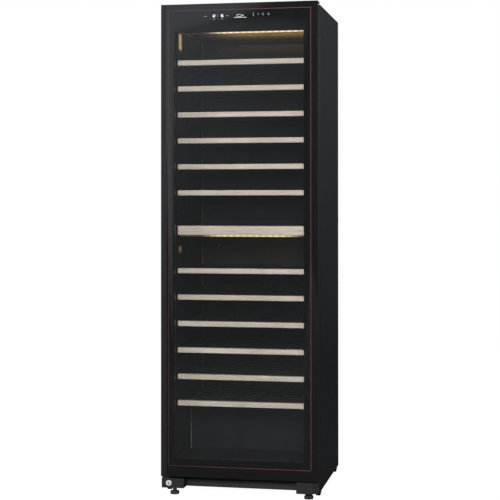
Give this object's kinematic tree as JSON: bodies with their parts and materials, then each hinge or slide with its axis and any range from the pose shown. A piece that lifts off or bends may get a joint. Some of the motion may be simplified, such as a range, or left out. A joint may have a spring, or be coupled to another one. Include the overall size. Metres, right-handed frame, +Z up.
{
  "type": "wine cooler",
  "caption": "Tall freestanding dual-zone wine cooler with a tinted glass door, touch controls, slatted wooden shelves, insulated divider, key lock, rollers and levelling feet.",
  "frame": {"origin": "middle of the footprint, on the floor under the feet and rollers", "axes": "+Z up, the glass door faces -Y, +X to the right of someone facing the door"},
  "size_m": [0.595, 0.576, 1.835],
  "materials": {
    "black_steel": "satin",
    "zinc_steel": "satin",
    "foam": "matte",
    "liner": "matte",
    "divider_core": "matte",
    "wood": "satin",
    "outer_glass": "gloss",
    "inner_glass": "gloss",
    "door_frame": "satin",
    "grip": "satin",
    "gasket": "matte",
    "electronics": "satin",
    "bright_steel": "satin",
    "bracket": "satin",
    "lock_chrome": "polished",
    "foot": "matte",
    "wheel": "matte",
    "duct": "matte",
    "fan": "satin",
    "evaporator": "satin",
    "light": "satin",
    "compressor": "satin",
    "condenser": "satin",
    "inlet": "matte"
  },
  "bodies": {
    "cabinet": {"left_side_panel": "black_steel", "right_side_panel": "black_steel", "top_panel": "black_steel", "rear_panel": "black_steel", "front_crossmember": "black_steel", "base_pan": "zinc_steel", "machine_bay_grille": "black_steel", "foam_left": "foam", "foam_right": "foam", "foam_top": "foam", "foam_rear": "foam", "foam_floor": "foam", "liner_left": "liner", "liner_right": "liner", "liner_ceiling": "liner", "liner_rear": "liner", "liner_floor": "liner", "zone_divider": "divider_core", "divider_front_trim": "wood", "duct_cover_upper": "duct", "duct_cover_lower": "duct", "evaporator_upper": "evaporator", "evaporator_lower": "evaporator", "light_bar_upper": "light", "light_bar_lower": "light", "upper_hinge_bracket": "bright_steel", "lower_hinge_bracket": "bracket", "lock_housing": "bracket", "compressor": "compressor", "condenser": "condenser", "power_inlet": "inlet"},
    "door": {"door_outer_glass": "outer_glass", "door_grip_profile": "grip", "door_frame": "door_frame", "door_inner_pane": "inner_glass", "door_gasket": "gasket", "control_module": "electronics", "door_striker": "bright_steel"},
    "lock": {"lock_cylinder": "lock_chrome", "lock_cam": "bright_steel"},
    "shelf_unit_01": {"shelf_01": "wood"},
    "shelf_unit_02": {"shelf_02": "wood"},
    "shelf_unit_03": {"shelf_03": "wood"},
    "shelf_unit_04": {"shelf_04": "wood"},
    "shelf_unit_05": {"shelf_05": "wood"},
    "shelf_unit_06": {"shelf_06": "wood"},
    "shelf_unit_07": {"shelf_07": "wood"},
    "shelf_unit_08": {"shelf_08": "wood"},
    "shelf_unit_09": {"shelf_09": "wood"},
    "shelf_unit_10": {"shelf_10": "wood"},
    "shelf_unit_11": {"shelf_11": "wood"},
    "shelf_unit_12": {"shelf_12": "wood"},
    "fan_upper": {"fan_rotor_upper": "fan"},
    "fan_lower": {"fan_rotor_lower": "fan"},
    "wheel_front_left": {"roller_front_left": "wheel"},
    "wheel_front_right": {"roller_front_right": "wheel"},
    "wheel_rear_left": {"roller_rear_left": "wheel"},
    "wheel_rear_right": {"roller_rear_right": "wheel"},
    "foot_left": {"levelling_foot_left": "foot"},
    "foot_right": {"levelling_foot_right": "foot"}
  },
  "joints": [
    {"name": "door_hinge", "type": "hinge", "parent": "cabinet", "child": "door", "pos_m": [0.275, -0.266, 0.95], "axis": [0, 0, 1], "range_deg": [0, 105]},
    {"name": "lock_turn", "type": "hinge", "parent": "cabinet", "child": "lock", "pos_m": [-0.2672, -0.2715, 0.0428], "axis": [0, -1, 0], "range_deg": [0, 90]},
    {"name": "shelf_slide_01", "type": "slide", "parent": "cabinet", "child": "shelf_unit_01", "axis": [0, -1, 0], "range_m": [0, 0.028]},
    {"name": "shelf_slide_02", "type": "slide", "parent": "cabinet", "child": "shelf_unit_02", "axis": [0, -1, 0], "range_m": [0, 0.028]},
    {"name": "shelf_slide_03", "type": "slide", "parent": "cabinet", "child": "shelf_unit_03", "axis": [0, -1, 0], "range_m": [0, 0.028]},
    {"name": "shelf_slide_04", "type": "slide", "parent": "cabinet", "child": "shelf_unit_04", "axis": [0, -1, 0], "range_m": [0, 0.028]},
    {"name": "shelf_slide_05", "type": "slide", "parent": "cabinet", "child": "shelf_unit_05", "axis": [0, -1, 0], "range_m": [0, 0.028]},
    {"name": "shelf_slide_06", "type": "slide", "parent": "cabinet", "child": "shelf_unit_06", "axis": [0, -1, 0], "range_m": [0, 0.028]},
    {"name": "shelf_slide_07", "type": "slide", "parent": "cabinet", "child": "shelf_unit_07", "axis": [0, -1, 0], "range_m": [0, 0.028]},
    {"name": "shelf_slide_08", "type": "slide", "parent": "cabinet", "child": "shelf_unit_08", "axis": [0, -1, 0], "range_m": [0, 0.028]},
    {"name": "shelf_slide_09", "type": "slide", "parent": "cabinet", "child": "shelf_unit_09", "axis": [0, -1, 0], "range_m": [0, 0.028]},
    {"name": "shelf_slide_10", "type": "slide", "parent": "cabinet", "child": "shelf_unit_10", "axis": [0, -1, 0], "range_m": [0, 0.028]},
    {"name": "shelf_slide_11", "type": "slide", "parent": "cabinet", "child": "shelf_unit_11", "axis": [0, -1, 0], "range_m": [0, 0.028]},
    {"name": "shelf_slide_12", "type": "slide", "parent": "cabinet", "child": "shelf_unit_12", "axis": [0, -1, 0], "range_m": [0, 0.028]},
    {"name": "fan_spin_upper", "type": "hinge", "parent": "cabinet", "child": "fan_upper", "pos_m": [0, 0.219, 1.585], "axis": [0, 1, 0], "continuous": true},
    {"name": "fan_spin_lower", "type": "hinge", "parent": "cabinet", "child": "fan_lower", "pos_m": [0, 0.219, 0.79], "axis": [0, 1, 0], "continuous": true},
    {"name": "roller_spin_front_left", "type": "hinge", "parent": "cabinet", "child": "wheel_front_left", "pos_m": [-0.2852, -0.196, 0.01888], "axis": [1, 0, 0], "continuous": true},
    {"name": "roller_spin_front_right", "type": "hinge", "parent": "cabinet", "child": "wheel_front_right", "pos_m": [0.2852, -0.196, 0.01888], "axis": [1, 0, 0], "continuous": true},
    {"name": "roller_spin_rear_left", "type": "hinge", "parent": "cabinet", "child": "wheel_rear_left", "pos_m": [-0.2852, 0.247, 0.01888], "axis": [1, 0, 0], "continuous": true},
    {"name": "roller_spin_rear_right", "type": "hinge", "parent": "cabinet", "child": "wheel_rear_right", "pos_m": [0.2852, 0.247, 0.01888], "axis": [1, 0, 0], "continuous": true},
    {"name": "foot_screw_left", "type": "hinge", "parent": "cabinet", "child": "foot_left", "pos_m": [-0.2478, -0.2685, 0.01], "axis": [0, 0, 1], "continuous": true},
    {"name": "foot_screw_right", "type": "hinge", "parent": "cabinet", "child": "foot_right", "pos_m": [0.2585, -0.256, 0.01], "axis": [0, 0, 1], "continuous": true}
  ]
}
